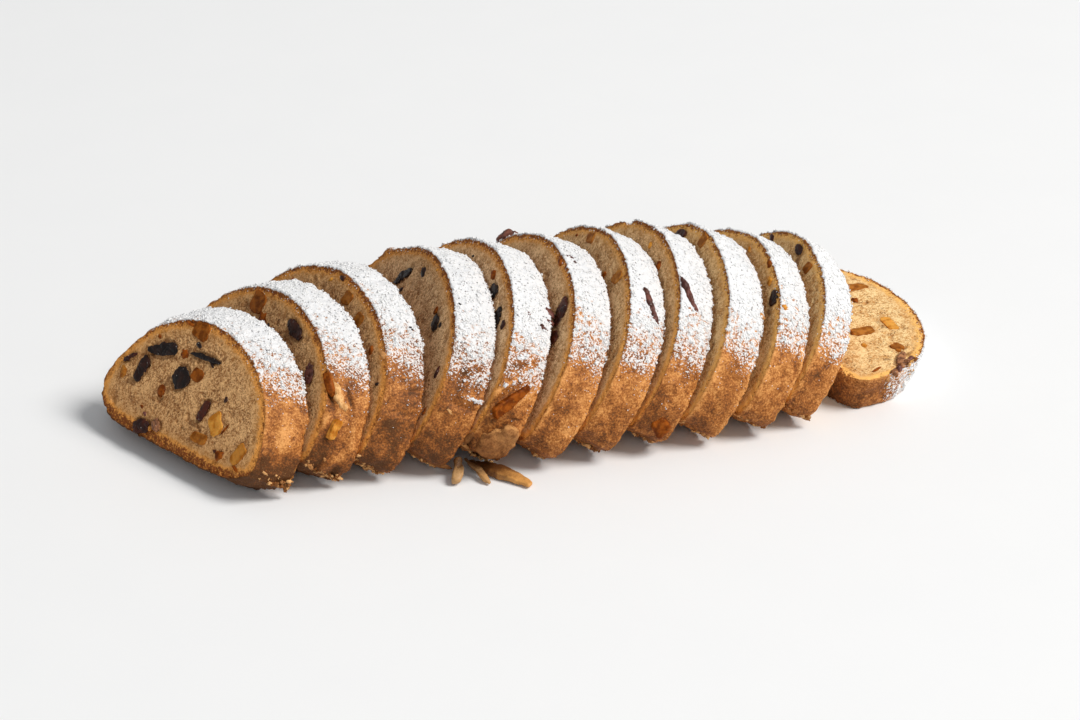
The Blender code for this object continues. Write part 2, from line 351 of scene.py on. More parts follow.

# folds, slits and stains of each slice's crust: place along, across to the front and up, turn
# from along to up, length, width, how far it rises, how much darker it is, by browning and by
# painted shade in slits and round the flap or lighter as a painted highlight on raised folds,
# extra sugar
crustMarks = {
    1: (
        (-4.5, 60, 25, 90, 16, 9, 0.5, -0.30, 0),
        (4.5, 60, 10, 100, 26, 11, -0.5, 0.26, 0),
        (6.8, 60, 27, 90, 12, 3, -0.8, 0.30, 0),
        (-1.0, 60, 29, 60, 3, 1.6, -0.5, 0.45, 0),
        (-2.0, 52, 38, 40, 4, 2.2, -0.4, 0.22, -0.7),
    ),
    2: (
        (-6.2, 50.5, 36, 100, 11, 2.2, -1.8, 0.60, -0.6),
        (-3.7, 52, 36, 112, 12, 3.4, -0.2, -0.45, -0.50),
        (-6.6, 55, 26, 80, 7, 2.0, 0.8, -0.45, 0),
        # a slit whose dark line is painted shade
        (0.4, 53, 37.5, 107, 9, 1.1, -1.1, 0.55, -0.3),
        (1.0, 60, 13, 60, 15, 3.8, 1.5, -0.35, 0),
        (4.4, 60, 8, 110, 11, 2.4, -1.3, 0.30, 0),
        (-3.4, 60, 8, 100, 12, 2.4, -1.2, 0.28, 0),
        (5.0, 60, 24, 95, 18, 4.0, 0.9, -0.20, 0),
    ),
    3: (
        (-2.3, 64, 24.5, 0, 4.6, 4, 0.5, 0.80, 0),
        (3.0, 60, 16, 90, 20, 5, 0.8, -0.15, 0),
        (-6.9, 47, 46, 70, 9, 3, 1.0, -0.25, 0),
        (3.0, 60, 40, 90, 6, 3, -0.4, 0.45, -0.9),
        (-2.5, 57, 43, 70, 5, 2.6, -0.4, 0.22, -0.8),
    ),
    4: (
        (5.0, 64.4, 36.8, 4, 9, 2.4, 0.8, -0.15, 0.72),
        (3.0, 64, 32, 4, 12, 2.4, -0.8, 0.25, 0),
        (-7.0, -47, 47, 0, 7, 6, 2.0, -0.2, 0),
        (-3.0, 59, 44, 60, 5, 3.0, -0.5, 0.22, -0.8),
        (2.5, 57, 47, 20, 4, 2.4, -0.4, 0.22, -0.7),
        (4.0, 60, 12, 80, 16, 4, 0.8, -0.15, 0),
    ),
    5: (
        (-3.0, 58, 46, 30, 5, 3.2, -0.5, 0.22, -0.8),
        (3.0, 57, 49, 80, 4, 2.6, -0.4, 0.22, -0.7),
        (-6.4, 60, 32, 60, 20, 2.6, 1.6, -0.45, -0.3),
        (-3.6, 60, 30, 60, 20, 2.0, -0.5, 0.15, 0),
        (4.0, 60, 33, 58, 18, 2.4, 1.2, -0.30, -0.3),
        # painted shadow in the hollow below and left of the flap
        (-6.5, 60, 9, 90, 14, 5, -2.2, 0.75, 0),
        (-6.1, 62.4, 35.8, 70, 2.4, 1.8, 0.8, 0.0, 1.1),
        (-3.2, 62.0, 38.2, 40, 2.4, 1.4, 0.8, 0.0, 0.9),
        # painted shadow under the flap
        (0.0, 60, 3.5, 0, 13, 4, -1.6, 0.55, 0),
        (7.6, 62, 12, 90, 9, 3, -0.8, 0.35, 0),
        (3.4, 64, 25.8, 15, 6, 0.9, -0.6, 0.40, 0),
    ),
    6: (
        (3.0, 60, 20, 80, 20, 5, 0.7, -0.15, 0),
        (-2.5, 60, 14, 95, 16, 5, -0.6, 0.16, 0),
    ),
    7: (
        (-3.0, 60, 18, 85, 20, 5, 0.7, -0.12, 0),
        (2.0, 60, 14, 100, 18, 5, -0.5, 0.15, 0),
    ),
    8: (
        (-8.0, -33, 57, 0, 7, 5, -2.2, 0.2, -0.6),
        (2.0, 60, 26, 75, 16, 4, 0.6, -0.12, 0),
        (-4.0, 60, 20, 95, 20, 5, -0.5, 0.14, 0),
    ),
    9: (
        (-5.0, 57, 36, 20, 7, 4.5, 0.9, 0.10, -0.8),
        (1.0, 60, 20, 95, 18, 4, 0.7, -0.18, 0),
        (-3.0, 60, 12, 90, 14, 5, -0.5, 0.14, 0),
    ),
    10: (
        (-3.0, 55, 22, 85, 18, 4, 0.6, -0.15, 0),
        (4.6, 56, 35, 105, 11, 2.4, -1.0, 0.30, 0),
        (6.6, 56, 35, 105, 10, 2.4, 0.9, -0.15, 0),
    ),
    11: (
        (1.0, 52, 30, 70, 9, 3, 0.8, 0.10, 0.3),
        (-2.0, 52, 24, 75, 10, 2.4, -0.7, 0.25, 0),
    ),
}


def sliceFrame(node):
    # local millimetres to metres: x along the slice's own axis, y to the back, z up in the face
    mesh = node.data
    count = len(mesh.polygons)
    areas, normals = np.empty(count), np.empty(count * 3)
    mesh.polygons.foreach_get("area", areas)
    mesh.polygons.foreach_get("normal", normals)
    normals = normals.reshape(-1, 3)

    def widest(allowed):
        _, which = np.unique(np.round(normals, 2), axis=0, return_inverse=True)
        sums = np.bincount(which.ravel(), weights=areas * allowed)
        chosen = which.ravel() == sums.argmax()
        return Vector(normals[chosen].mean(axis=0)).normalized(), chosen

    firstFace, _ = widest(normals[:, 2] > 0.3)
    axis = -firstFace
    base, chosen = widest(np.abs(normals @ np.array(axis)) < 0.05)
    up = (-base - axis * (-base).dot(axis)).normalized()
    back = up.cross(axis)
    points, _ = readPoints(mesh)
    used = [v for index in np.flatnonzero(chosen) for v in mesh.polygons[index].vertices]
    corners = points[used]

    def middle(values):
        return (values.min() + values.max()) / 2

    spot = axis * middle(points @ np.array(axis)) + up * float((points @ np.array(up)).min())
    spot += back * middle(corners @ np.array(back))
    return framed(spot, axis, back, up) @ Matrix.Scale(mm, 4)


def wholeSlab(node, place):
    # the slice as it was before its fruit, and its outer skin alone as a search tree
    hull = mergedCopy(node)
    hull.transform(place.inverted())
    bmesh.ops.delete(hull, geom=hull.faces[:], context="FACES_ONLY")
    bmesh.ops.delete(hull, geom=hull.edges[:], context="EDGES_FACES")
    made = bmesh.ops.convex_hull(hull, input=hull.verts)
    inner = [item for item in made["geom_interior"] if isinstance(item, bmesh.types.BMVert)]
    bmesh.ops.delete(hull, geom=inner, context="VERTS")
    bmesh.ops.recalc_face_normals(hull, faces=hull.faces)
    skin = hull.copy()
    cuts = [face for face in skin.faces if abs(face.normal.x) > 0.9]
    bmesh.ops.delete(skin, geom=cuts, context="FACES_ONLY")
    tree = BVHTree.FromBMesh(skin)
    skin.free()
    return hull, tree


def fruitTrees(number, place):
    # the fruit that sits in this slice, as search trees with their boxes
    found = []
    for name, node in nodes.items():
        if name.split("_")[-1][:2] == f"{number:02d}" and not name.startswith("slice"):
            bm = mergedCopy(node)
            bm.transform(place.inverted())
            spots = np.array([vert.co[:] for vert in bm.verts])
            found.append((name, BVHTree.FromBMesh(bm), spots.min(axis=0), spots.max(axis=0)))
            bm.free()
    return found


def nearFruit(points, number, place, reach=2.5):
    # distance outside the nearest fruit in mm, below 0 inside it, and whether that is a raisin
    near = np.full(len(points), reach)
    dark = np.zeros(len(points))
    for name, tree, low, high in fruitTrees(number, place):
        close = np.all((points > low - reach) & (points < high + reach), axis=1)
        for index in np.flatnonzero(close):
            point = Vector(points[index])
            spot, normal, _, distance = tree.find_nearest(point)
            if (point - spot).dot(normal) < 0:
                distance = -distance
            if distance < near[index]:
                near[index] = distance
                dark[index] = "raisin" in name
    return near, dark


def sugarCover(points, number, height):
    # 0 bare to 1 thick: whole at the top, then patches, then a few scattered crumbs of it;
    # and the fine dust that lies further down
    edge = bread["sugarEdge"][number - 1]
    level = points[:, 2] / height
    front = ease(-points[:, 1], -8.0, 8.0)
    edges = edge * front + bread["sugarEdgeBack"] * (1 - front)
    edges += 0.045 * waves(points * (0.4, 1, 1), 9.0, number)
    whole = np.clip((level - edges) / bread["sugarFade"], 0.0, 1.0)
    patches = layered(points, number, bread["sugarPatches"])
    cover = ease(whole * 1.3 - 0.12 + patches * (1 - 0.64 * whole) * (whole > 0), 0.0, 1.0)
    dust = ease(level - edges + 0.05 * waves(points, 4.0, number + 5), -0.11, 0.07)
    return cover, dust


def marksNear(points, number, tree):
    # how far the marks of this slice raise its crust, and what browning, painted shade and sugar
    # they add
    added = np.zeros((3, len(points)))
    for along, across, up, turn, length, width, *effects in crustMarks.get(number, ()):
        spot, normal, _, _ = tree.find_nearest(Vector((along, -across, up)))
        curve = normal.cross(Vector((1, 0, 0))).normalized()
        offset = points - np.array(spot)
        side, rise = offset[:, 0], offset @ np.array(curve)
        lengthways = side * math.cos(math.radians(turn)) + rise * math.sin(math.radians(turn))
        sideways = rise * math.cos(math.radians(turn)) - side * math.sin(math.radians(turn))
        bend = 0.9 * waves(points, 5.0, number + up) * min(1.0, width / 4)
        spread = (lengthways / length * 2) ** 2 + ((sideways + bend) / width * 2) ** 2
        near = np.exp(-spread - (offset @ np.array(normal) / 6) ** 2)
        added += np.outer(effects, near)
    return added


def readSlice(slab, points, normals):
    # what each point of the skin is: crumb or crust, how high, how deep, near which fruit
    number = slab.number
    slab.depth = np.array([slab.tree.find_nearest(Vector(point))[3] for point in points])
    slab.cutGap = slab.half - np.abs(points[:, 0])
    slab.crumb = ease(slab.cutGap, 0.6, 0.25) * ease(np.abs(normals[:, 0]), 0.5, 0.85)
    slab.level = points[:, 2] / slab.height
    slab.foot = ease(points[:, 2], bread["footTop"], 3.0)
    slab.gap, slab.fruitDark = nearFruit(points, number, slab.place)
    slab.risen, slab.browner, sweeter = marksNear(points, number, slab.tree)
    cover, dust = sugarCover(points, number, slab.height)
    onCrumb = ease(slab.crumb, 0.35, 0.95)
    slab.cover = np.clip(cover + sweeter, 0.0, 1.0) * (1 - onCrumb) * ease(slab.gap, -0.7, 0.1)
    slab.dust = np.clip(dust + sweeter, 0.0, 1.0) * (1 - onCrumb)

    # the rings of the rolled dough: out from their middle, round it, and along the slice
    above = points[:, 2] - bread["rollMiddle"] * slab.height
    ring = np.hypot(points[:, 1], above)
    turn = np.arctan2(points[:, 1], above)
    slab.rings = np.stack([ring, turn * 28.0, points[:, 0] * 0.9], axis=1)
    flat = np.zeros(len(points))
    slab.fold = waves(np.stack([points[:, 0], turn * 9.0, flat], axis=1), 5.0, number)


def crustRelief(slab, points):
    # folds that run round the loaf and lumps, rougher along the foot and beside the cuts
    number, foot = slab.number, slab.foot
    nearCut = ease(slab.cutGap, 3.0, 0.0)
    lumps = layered(points, number, bread["lumps"])
    lumps += (0.10 + 0.20 * foot) * waves(points, 1.4, number + 20)
    lumps += bread["folds"] * slab.fold * ease(slab.level, 0.8, 0.5) + slab.risen
    lumps += nearCut * layered(points, number, bread["cutLumps"])
    lumps += nearCut * foot * 0.7 * waves(points, 1.5, number + 57)
    return lumps


def sugarRelief(slab, points):
    coarse = waves(points, 2.4, slab.number + 40)
    heaps = 0.55 + 0.45 * coarse + 0.35 * waves(points, 1.25, slab.number + 60)
    return bread["sugarThickness"] * slab.cover ** 1.5 * heaps


def carveCrumb(slab, points, push):
    # pores along the rings, torn edges and base, and a groove and a lip round the fruit
    number, crumb, gap = slab.number, slab.crumb, slab.gap
    shares = bread["lyingPoreShares" if number == bread["lyingSlice"] else "poreShares"]
    holes = bubbles(slab.rings, bread["poreWidth"], number, *shares) * ease(slab.depth, 2.5, 5.0)
    fine = bubbles(points, bread["finePoreWidth"], number + 10, *bread["finePoreShares"])
    base = ease(points[:, 2], 6.5, 2.0)
    torn = ease(slab.depth, 2.8, 0.4) * (0.30 + 0.9 * waves(points, 2.6, number + 80))
    torn += 1.1 * base * (0.25 + waves(points, 1.9, number + 85))
    groove = ease(gap, 0.8, 0.1) * ease(gap, -0.6, 0.0)
    lip = ease(gap, 1.6, 0.5) * waves(points, 2.0, number + 90)
    pits = bread["poreDepth"] * holes + bread["finePoreDepth"] * fine
    push -= crumb * (pits + 0.16 + 0.14 * waves(points, 2.4, number + 30))
    push -= crumb * np.clip(torn, 0.0, 1.0) * bread["tearDepth"]
    push += crumb * (0.35 * lip - 0.5 * groove * slab.fruitDark)
    # where the carved pores are, which the material darkens as painted shade
    slab.hollow = crumb * np.maximum(holes, 0.5 * fine)


def shareSlice(slab, mesh, points):
    # what the bread's material reads at each point
    number, level = slab.number, slab.level
    # painted highlight: the crust paler along both cut edges below the sugar
    paintedEdgeHighlight = ease(slab.half - np.abs(points[:, 0]), 2.6, 0.4) * ease(level, 0.75, 0.45)
    # darker towards the foot: partly browning, partly painted shade
    bake = (1 - level) * 0.60 + ease(level, 0.45, 0.0) * bread["footBrowningAndShade"][number - 1]
    # painted shade in the folds' hollows and a painted highlight on their ridges; the marks add
    # stains and painted shade
    bake += bread["browning"][number - 1] * 0.45 - 0.13 - 0.22 * slab.fold + slab.browner
    bake -= 0.20 * paintedEdgeHighlight
    # painted shade: the lying slice's crust darker towards its underside
    bake += bread["undersideShade"][number - 1] * points[:, 0] / slab.half
    share(mesh, "crustDepth", slab.depth)
    share(mesh, "crumb", slab.crumb)
    # darker crumb right beside the fruit: partly moist crumb, partly painted shade in the groove
    # round it
    share(mesh, "fruitEdge", ease(slab.gap, 0.6, 0.0) * (0.40 + 0.50 * slab.fruitDark))
    share(mesh, "hollow", slab.hollow)
    share(mesh, "sugar", slab.cover)
    share(mesh, "dust", slab.dust)
    share(mesh, "level", level)
    share(mesh, "bake", bake)
    for name in ("golden", "chalk"):
        share(mesh, name, np.full(len(points), bread[name][number - 1]))
    rings = mesh.attributes.new("rings", "FLOAT_VECTOR", "POINT")
    rings.data.foreach_set("vector", (slab.rings * mm).astype(np.float32).ravel())


def dressSlice(number, look):
    node = nodes[f"slice_{number:02d}"]
    place = sliceFrame(node)
    whole, tree = wholeSlab(node, place)
    slab = SimpleNamespace(number=number, place=place, tree=tree)
    slab.half = max(abs(vert.co.x) for vert in whole.verts)
    slab.height = max(vert.co.z for vert in whole.verts)
    piece = newPiece(f"bread_{number:02d}", whole)
    voxel = bread["fineVoxel"] if number in bread["openSlices"] else bread["voxel"]
    remesh(piece, voxel)
    mesh = piece.data
    points, normals = readPoints(mesh)
    readSlice(slab, points, normals)
    push = (1 - slab.crumb) * crustRelief(slab, points) + sugarRelief(slab, points)
    push += slab.crumb * ease(slab.depth, 2.5, 0.0) * slab.risen
    carveCrumb(slab, points, push)
    points += normals * push[:, None]
    writePoints(mesh, points)
    shareSlice(slab, mesh, points)
    settle(mesh, place)
    mesh.materials.append(look)
    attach(piece, "root")
    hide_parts(node.name)
    slab.piece = piece
    return slab


breadColours = {
    # the crumb's dark and light ends
    "pale": (rgb(0.30, 0.122, 0.038), rgb(0.86, 0.475, 0.195)),
    "gold": (rgb(0.57, 0.275, 0.080), rgb(0.98, 0.720, 0.360)),
    # the paler, duller crumb that lightens the shaded faces, as painted light
    "dull": (rgb(0.42, 0.210, 0.090), rgb(0.98, 0.660, 0.380)),
    "crumbGrit": rgb(0.95, 0.660, 0.370),
    "crumbBase": rgb(0.38, 0.150, 0.040),
    "pore": rgb(0.23, 0.090, 0.027),
    "speck": rgb(0.10, 0.04, 0.016),
    "besideFruit": rgb(0.16, 0.060, 0.018),
    # the crust from barely to deeply browned
    "crust": (
        (0.0, (0.72, 0.330, 0.100)),
        (0.3, (0.50, 0.193, 0.047)),
        (0.55, (0.31, 0.100, 0.020)),
        (0.8, (0.165, 0.053, 0.013)),
        (1.0, (0.095, 0.034, 0.009)),
    ),
    "crustGrit": rgb(0.80, 0.420, 0.150),
    "rim": (rgb(0.22, 0.060, 0.012), rgb(0.78, 0.315, 0.062)),
    "goldRim": rgb(0.95, 0.560, 0.170),
    "warmCrumb": rgb(0.72, 0.330, 0.085),
    "veil": rgb(0.82, 0.770, 0.740),
    # white sugar and a greyer one; the grey is painted shade in its hollows
    "sugar": (rgb(0.835, 0.82, 0.81), rgb(0.76, 0.765, 0.78)),
    "sugarPitShade": rgb(0.13, 0.095, 0.085),
}


def crumbFinish(look, read, texture, pore):
    # pale walls and small pores painted dark as the shade in them, paler and darker in streaks
    # along the rings
    colours = breadColours
    fine, grit = texture.fine, texture.grit
    rings = look.wire.node("ShaderNodeAttribute", {"attribute_name": "rings"}, out=1)
    streak = look.clouds(4.2, 3.0, 0.6, 0.6, rings)
    web = look.clouds(1.3, 3.0, 0.7, 0.4)
    tone = streak * 0.16 + texture.patch * 0.12 + web * 0.26 + fine * 0.24 + grit * 0.22
    tone = tone.step(0.443, 0.557)
    # painted light on the shaded faces: paler, duller crumb, and golden crumb further back
    brown = read.chalk.tint(tone.tint(*colours["pale"]), tone.tint(*colours["dull"]))
    colour = read.golden.tint(brown, tone.tint(*colours["gold"]))
    colour = (grit.step(0.56, 0.66) * 0.30).tint(colour, colours["crumbGrit"])
    colour = ((1 - read.level.step(0.0, 0.4)) * 0.36).tint(colour, colours["crumbBase"])
    # painted shade in the pores, the painted ones and the carved hollows
    colour = (pore * 0.66).most(read.hollow * 0.42).tint(colour, colours["pore"])
    speck = (1 - texture.specks.step(0.05, 0.16)) * texture.medium.step(0.5, 0.6)
    colour = (speck * 0.8).tint(colour, colours["speck"])
    # the crumb beside the fruit: partly moist, partly painted shade in its groove
    return (read.fruitEdge * 0.7).tint(colour, colours["besideFruit"])


def crustFinish(look, read, texture):
    # golden under the sugar, browner towards the foot, blotched and finely grained; its bake value
    # also holds painted shade and painted highlights
    broad = look.clouds(13.0, 2.0, 0.5)
    shade = read.bake + (broad - 0.5) * 0.7 + (texture.medium - 0.5) * 1.1
    shade = shade + (texture.fine - 0.5) * 1.3 + (texture.grit - 0.5) * 1.0 + read.dust * 0.24
    ramp = {"stops": breadColours["crust"]}
    colour = look.wire.node("ShaderNodeValToRGB", ramp, {0: shade})
    return (texture.grit.step(0.60, 0.72) * 0.30).tint(colour, breadColours["crustGrit"])


def rimFinish(read, texture, crumb):
    # the baked edge of a cut: orange brown, darker at the top and coarse at the base
    golden, medium, fine = read.golden, texture.medium, texture.fine
    low = 1 - read.level.step(0.02, 0.16)
    high = read.level.step(0.55, 0.9)
    edge = read.crustDepth + (medium - 0.5) * 3.4 + (fine - 0.5) * 2.8 - low * 3.8 - high * 0.5
    tone = edge.step(-1.0, 3.2) - high * 0.12 + (fine - 0.5) * (low * 2.2 + 1.8)
    tone = tone + (medium - 0.5) * 1.0 + (1 - high) * (1 - low) * 0.30 + golden * 0.25
    colour = tone.tint(*breadColours["rim"])
    colour = (golden * tone.step(0.3, 0.8) * 0.8).tint(colour, breadColours["goldRim"])
    warm = (1 - edge.step(2.5, 8.0)) * 0.34
    return edge.step(1.7, 4.0).tint(colour, warm.tint(crumb, breadColours["warmCrumb"]))


def breadLook():
    look = Look("stollenBread")
    shares = ("crustDepth", "crumb", "fruitEdge", "hollow", "sugar", "dust", "level", "bake",
              "golden", "chalk")
    read = SimpleNamespace(**{name: look.shared(name) for name in shares})
    fine = look.clouds(0.8, 3.0, 0.65)
    medium = look.clouds(3.2, 3.0, 0.6)
    grit = look.clouds(0.50, 2.0, 0.7, 0.0, look.moved(3, 8, 1))
    patch = look.clouds(9.0, 2.0, 0.5, 0.8)
    specks = look.cells(2.6, look.moved(11, 2, 5))
    texture = SimpleNamespace(fine=fine, medium=medium, grit=grit, patch=patch, specks=specks)

    # pores are cells whose walls are bent by a finer noise, painted dark as the shade inside them
    bent = look.wire.node("ShaderNodeTexNoise", {}, {"Vector": look.place, "Scale": 420.0}, 1)
    reach = (1.1 * mm, 1.1 * mm, 1.1 * mm)
    warped = look.wire.node("ShaderNodeVectorMath", {"operation": "MULTIPLY_ADD"},
                            {0: bent, 1: reach, 2: look.place})
    pore = (1 - look.cells(1.5, warped).step(0.12, 0.40)) * patch.step(0.66, 0.40)

    cut = rimFinish(read, texture, crumbFinish(look, read, texture, pore))
    baked = read.crumb.tint(crustFinish(look, read, texture), cut)

    # icing sugar: a thick white bed with pits painted dark as shade, breaking up into grains and
    # bare holes
    sugar, dust, crumb = read.sugar, read.dust, read.crumb
    clumps = look.clouds(2.3, 2.0, 0.5, 0.0, look.moved(5, 5, 9))
    grains = look.clouds(0.85, 2.0, 0.6, 0.0, look.moved(9, 1, 2))
    pits = look.cells(1.7, look.moved(2, 13, 7))
    scatter = grains * 0.5 + fine * 0.3 + grit * 0.2 + (dust.most(sugar) - 0.5) * 0.15
    veil = scatter.step(0.565, 0.595) * dust.most(sugar).step(0.0, 0.3)
    dusted = (veil * 0.9).tint(baked, breadColours["veil"])
    cover = (sugar - 0.46) * 0.55 - (clumps - 0.5) * 0.25 - (grains - 0.5) * 0.70
    cover = cover - (grit - 0.5) * 0.6
    mask = cover.step(0.0, 0.07) * sugar.step(0.0, 0.04)
    # greyer where the grains sink: painted shade in the sugar's hollows
    sugarColour = (grains * 0.6 + clumps * 0.4).step(0.30, 0.66).tint(*breadColours["sugar"])
    # dark specks and pits in the sugar, painted as the shade in them
    specked = (1 - specks.step(0.07, 0.19)) * grains.step(0.40, 0.52)
    pitShade = specked.most((1 - pits.step(0.09, 0.26)) * clumps.step(0.44, 0.54))
    sugarColour = (pitShade * 0.9).tint(sugarColour, breadColours["sugarPitShade"])
    colour = mask.tint(dusted, sugarColour)

    roughness = mask * 0.25 + crumb * 0.2 + 0.58 + (fine - 0.5) * 0.2
    relief = fine * 0.5 + medium * 0.3 - pore * crumb * 0.7
    relief = relief + mask * (0.6 - grains * 0.9 - pitShade * 0.7)
    return look.finish(colour, roughness, relief, 0.45, 0.16)


buildStudio()
breadMaterial = breadLook()
slices = {}
for number in range(1, bread["count"] + 1):
    slices[number] = dressSlice(number, breadMaterial)
    print("slice", number, "dressed")


# Fruit

fruit = {
    "voxel": 0.36,
    "quickVoxel": 0.7,
    "softening": 6,  # rounds of smoothing
    "softenings": {"crust_peel_05": 1, "crust_peel_08": 3, "crust_raisin_07": 2,
                   "crust_raisin_08": 2},
    # share of the usual unevenness
    "calm": {"crust_peel_05": 0.35, "crust_peel_08": 0.6, "raisin_01c": 0.5, "raisin_01d": 0.45,
             "crust_raisin_07": 0.5, "crust_raisin_08": 0.5, "raisin_01b": 0.8,
             "raisin_01e": 0.6, "crust_raisin_06": 1.5, "raisin_12a": 0.7, "peel_strip_1": 0.8,
             "peel_strip_2": 1.3, "peel_strip_3": 1.6},
    # how much longer and narrower than its solid a piece has dried
    "stretch": {"raisin_01a": (1.22, 0.78), "raisin_01d": (1.20, 0.72), "peel_01d": (1.1, 0.85),
                "raisin_04a": (1.1, 0.85), "crust_peel_05": (1.10, 1.0),
                "crust_peel_02": (1.05, 0.85), "raisin_12a": (1.12, 0.66),
                "raisin_01c": (0.9, 1.1), "crust_peel_08": (0.78, 1.25),
                "peel_strip_2": (1.2, 0.9)},
    # half the width in mm of pieces with parallel sides
    "straight": {"crust_peel_05": 2.4, "peel_strip_3": 1.9, "crust_raisin_07": 1.0,
                 "crust_raisin_08": 1.1, "raisin_01b": 2.7, "raisin_01e": 1.9},
    "mostWidening": 2.4,
    "stand": {"raisin": 0.75, "peel": 0.25},  # mm out of a cut face
    "leastStand": 0.12,
    "wrinkleWidth": 2.9,
    "wrinkleDepth": 0.7,
    # lumps as height and width in mm and a seed of their own
    "peelLumps": ((0.5, 4.0, 0), (0.35, 2.0, 0)),
    "stripLumps": ((0.55, 4.5, 0), (0.25, 2.0, 0)),
    "flapLumps": ((1.1, 6.0, 0), (0.55, 2.6, 0), (0.22, 1.3, 0)),
    # mm added all over
    "fuller": {"crust_raisin_06": 0.8, "crust_raisin_07": 0.25, "crust_raisin_08": 0.30,
               "crust_peel_08": 0.3, "crust_peel_02": -0.4,
               "peel_strip_1": 0.3, "peel_strip_3": 0.2},
    # how red a raisin is (amber above 1), or how pale a piece of peel; the others get a chance
    # value up to the first number
    "chanceTone": 0.6,
    "tones": {
        "raisin_01a": 0.05, "raisin_01b": 0.25, "raisin_01c": 0.0, "raisin_01d": 0.05,
        "raisin_01e": 0.5, "raisin_01f": 1.25, "raisin_01g": 0.35, "raisin_04a": 0.0,
        "raisin_06a": 0.5, "raisin_06b": 0.55, "raisin_10a": 0.2,
        "crust_raisin_06": 1.05, "crust_raisin_07": 0.85, "crust_raisin_08": 0.85,
        "raisin_02b": 0.8, "raisin_12a": 1.5,
        "peel_01a": 0.40, "peel_01b": 0.36, "peel_01c": 0.80, "peel_01d": 0.48, "peel_01e": 0.6,
        "peel_02a": 0.40, "peel_03a": 0.50, "peel_03b": 0.50, "peel_07a": 0.50, "peel_07b": 0.55,
        "peel_09a": 0.52, "peel_11a": 0.45,
        "peel_12a": 0.52, "peel_12b": 0.50, "peel_12c": 0.82, "peel_12d": 0.45,
        "crust_peel_02": 0.66, "crust_peel_05": 0.0, "crust_peel_08": 0.30,
        "peel_strip_1": 1.0, "peel_strip_2": 0.35, "peel_strip_3": 0.0, "torn_crust_05": 0.31,
    },
    # outline of the torn flap: degrees round it and mm out from its middle
    "flapOutline": ((-170, 8.6), (-130, 6.8), (-99, 7.6), (-85, 8.0), (-74, 6.4), (-36, 6.1),
                    (-8, 7.8), (14, 9.0), (34, 9.8), (62, 9.6), (80, 8.4), (104, 9.6), (132, 10.4),
                    (154, 8.6), (173, 8.6)),
    "flapShift": 1.7,  # mm along the row
    "flapTilt": 2.0,
    "flapPaintedLight": 0.17,  # painted light: paler towards its upper right, which faces the lamp
    "flapLip": 0.9,
}


def flush(points, before, middle, name):
    # fruit in a cut face was cut with it, so little of it stands out
    slab = slices[int(name.split("_")[1][:2])]
    stand = fruit["stand"][name.split("_")[0]]
    there, back = np.array(slab.place.inverted()), np.array(slab.place)
    local = (points * mm + middle) @ there[:3, :3].T + there[:3, 3]
    localBefore = (before * mm + middle) @ there[:3, :3].T + there[:3, 3]
    proud = -slab.half - local[:, 0]
    firstProud = -slab.half - localBefore[:, 0]
    kept = np.where(proud > 0, stand * (1 - np.exp(-proud / stand)), proud)
    least = np.minimum(firstProud, fruit["leastStand"])
    kept = np.where(firstProud > 0, np.maximum(kept, least), kept)
    local[:, 0] = -slab.half - kept
    return (local @ back[:3, :3].T + back[:3, 3] - middle) / mm


def dressNode(name, pieceName, look, shape):
    bm = mergedCopy(nodes[name])
    middle = Vector([(low + high) / 2 for low, high in zip(*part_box(name))])
    bm.transform(Matrix.Scale(1 / mm, 4) @ Matrix.Translation(-middle))
    piece = newPiece(pieceName, bm)
    remesh(piece, fruit["voxel"])
    mesh = piece.data
    soften(mesh, fruit["softenings"].get(name, fruit["softening"]))
    before, normals = readPoints(mesh)
    if "torn" in name:
        before = cornered(before)
    if name in fruit["stretch"]:
        before = dried(before, *fruit["stretch"][name])
    if name in fruit["straight"]:
        before = straightened(before, fruit["straight"][name])
    seed = float(sum(ord(letter) for letter in name) % 97)  # from the name, so always the same
    push = fruit["calm"].get(name, 1.0) * shape(before, seed) + fruit["fuller"].get(name, 0.0)
    points = before + normals * push[:, None]
    if name.startswith(("raisin_", "peel_0", "peel_1")):
        points = flush(points, before, np.array(middle), name)
    writePoints(mesh, points)
    _, normals = readPoints(mesh)
    chance = fruit["chanceTone"] * random.Random(seed).random()
    tone = np.full(len(points), fruit["tones"].get(name, chance))
    if "torn" in name:
        # painted light: the flap paler towards its upper right
        tone += fruit["flapPaintedLight"] * ease(points[:, 0] + points[:, 2], -8.0, 10.0)
    share(mesh, "tone", tone)
    upper = ease(normals[:, 0] + normals[:, 2], -0.1, 0.7)
    # the flap's edges that face up and to the right, for its painted highlight
    share(mesh, "edge", ease(np.abs(normals[:, 1]), 0.80, 0.40) * upper * ("torn" in name))
    share(mesh, "tip", ease(-points[:, 1], *(-np.percentile(points[:, 1], (85, 4)))))
    settle(mesh, Matrix.Translation(middle) @ Matrix.Scale(mm, 4))
    mesh.materials.append(look)
    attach(piece, "root")
    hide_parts(name)


def soften(mesh, times):
    # rounds off the corners left by the even skin
    bm = bmesh.new()
    bm.from_mesh(mesh)
    for _ in range(times):
        bmesh.ops.smooth_vert(bm, verts=bm.verts, factor=0.5, use_axis_x=True, use_axis_y=True,
                              use_axis_z=True)
    bm.normal_update()
    bm.to_mesh(mesh)
    bm.free()


